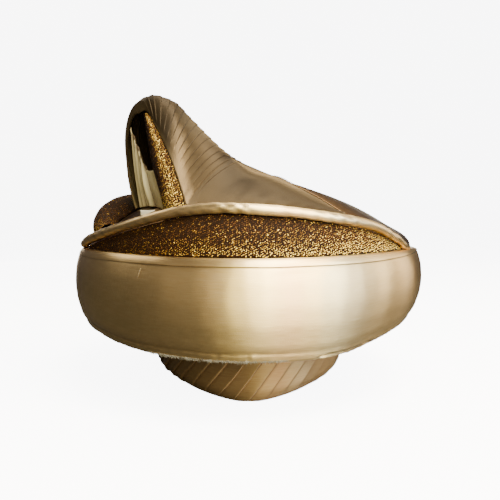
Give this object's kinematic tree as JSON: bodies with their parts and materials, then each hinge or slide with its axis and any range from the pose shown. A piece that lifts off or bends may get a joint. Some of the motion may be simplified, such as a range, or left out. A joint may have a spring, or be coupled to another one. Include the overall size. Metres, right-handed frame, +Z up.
{
  "type": "turban",
  "caption": "Ready-made turban: a wide padded satin band, a crescent of glitter cloth under a rolled edge, and a pleated wrap that rises to an open hooded peak.",
  "frame": {"origin": "centre of the turban's outline in plan, at the height of the cap's rim, which rests on the surface", "axes": "+X to the right of the front view, +Y to the back, +Z up"},
  "size_m": [0.3001, 0.3214, 0.2385],
  "materials": {
    "champagne_satin": "satin",
    "pale_satin": "satin",
    "bronze_satin": "satin",
    "gold_glitter": "metallic flecks"
  },
  "bodies": {
    "root": {"head_cap": "champagne_satin", "padded_band": "pale_satin", "under_panel": "champagne_satin", "glitter_panel": "gold_glitter", "rolled_edge": "pale_satin", "crown": "bronze_satin", "crown_wrap": "champagne_satin", "mouth_facing": "gold_glitter", "mouth_pleats": "pale_satin", "side_roll": "gold_glitter"}
  },
  "joints": []
}
